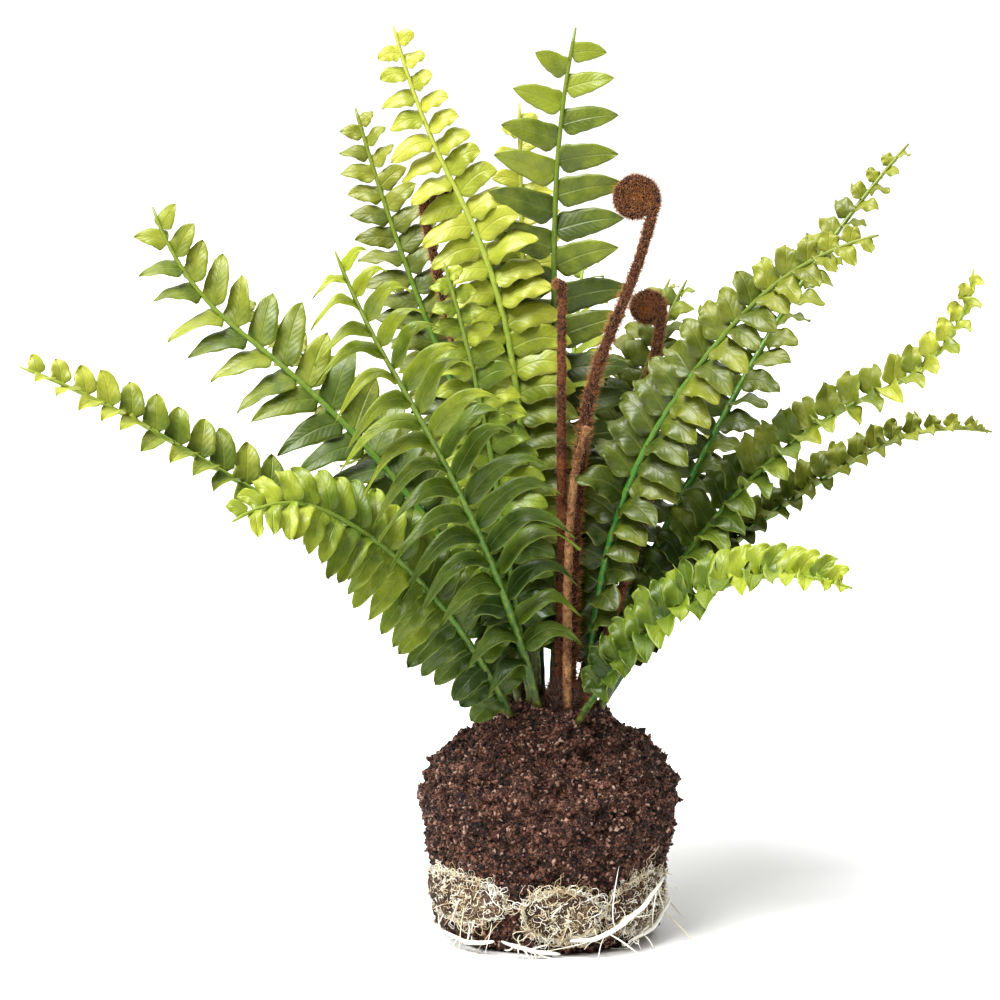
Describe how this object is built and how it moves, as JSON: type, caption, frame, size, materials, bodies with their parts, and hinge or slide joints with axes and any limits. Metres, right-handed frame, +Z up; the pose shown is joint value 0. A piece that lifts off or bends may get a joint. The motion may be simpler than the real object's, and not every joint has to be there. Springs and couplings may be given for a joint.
{
  "type": "fern with root ball",
  "caption": "Free-standing fern with arching fronds, curled young crosiers and a moulded peat root ball with pale roots round its foot.",
  "frame": {"origin": "centre of the root ball's flat foot, on the surface that it stands on", "axes": "+Z up along the ball; -Y towards the side with the short front frond and the front root mat; +X to that side's right"},
  "size_m": [0.3859, 0.3031, 0.3639],
  "materials": {
    "fern_leaf": "satin green leaf with paler tips and feathered veins",
    "crosier_fur": "reddish brown fuzz on a woody stem",
    "rhizome_fur": "dense reddish brown fuzz",
    "peat": "granular dark peat and coir, no gloss",
    "root_fibre": "pale felted root fibres"
  },
  "bodies": {
    "root": {"crosier_hooked": "crosier_fur", "crosier_left": "crosier_fur", "crosier_right": "crosier_fur", "crosier_tall": "crosier_fur", "frond_back": "fern_leaf", "frond_back_left": "fern_leaf", "frond_back_right": "fern_leaf", "frond_front": "fern_leaf", "frond_front_left": "fern_leaf", "frond_front_right": "fern_leaf", "frond_inner_back": "fern_leaf", "frond_inner_left": "fern_leaf", "frond_inner_right": "fern_leaf", "frond_left": "fern_leaf", "frond_left_back": "fern_leaf", "frond_low_left": "fern_leaf", "frond_low_right": "fern_leaf", "frond_lowest_right": "fern_leaf", "frond_rear": "fern_leaf", "frond_rear_left": "fern_leaf", "frond_rear_low": "fern_leaf", "frond_rear_low_left": "fern_leaf", "frond_rear_low_right": "fern_leaf", "frond_right": "fern_leaf", "frond_right_back": "fern_leaf", "frond_tall": "fern_leaf", "frond_tall_left": "fern_leaf", "rhizome_crown": "rhizome_fur", "root_back": "root_fibre", "root_ball": "peat", "root_left": "root_fibre", "root_low": "root_fibre", "root_mat_back_left": "root_fibre", "root_mat_back_right": "root_fibre", "root_mat_front": "root_fibre", "root_mat_left": "root_fibre", "root_mat_right": "root_fibre", "root_right": "root_fibre", "root_sweeping": "root_fibre", "stub_pale": "crosier_fur", "stub_right": "crosier_fur"}
  },
  "joints": []
}
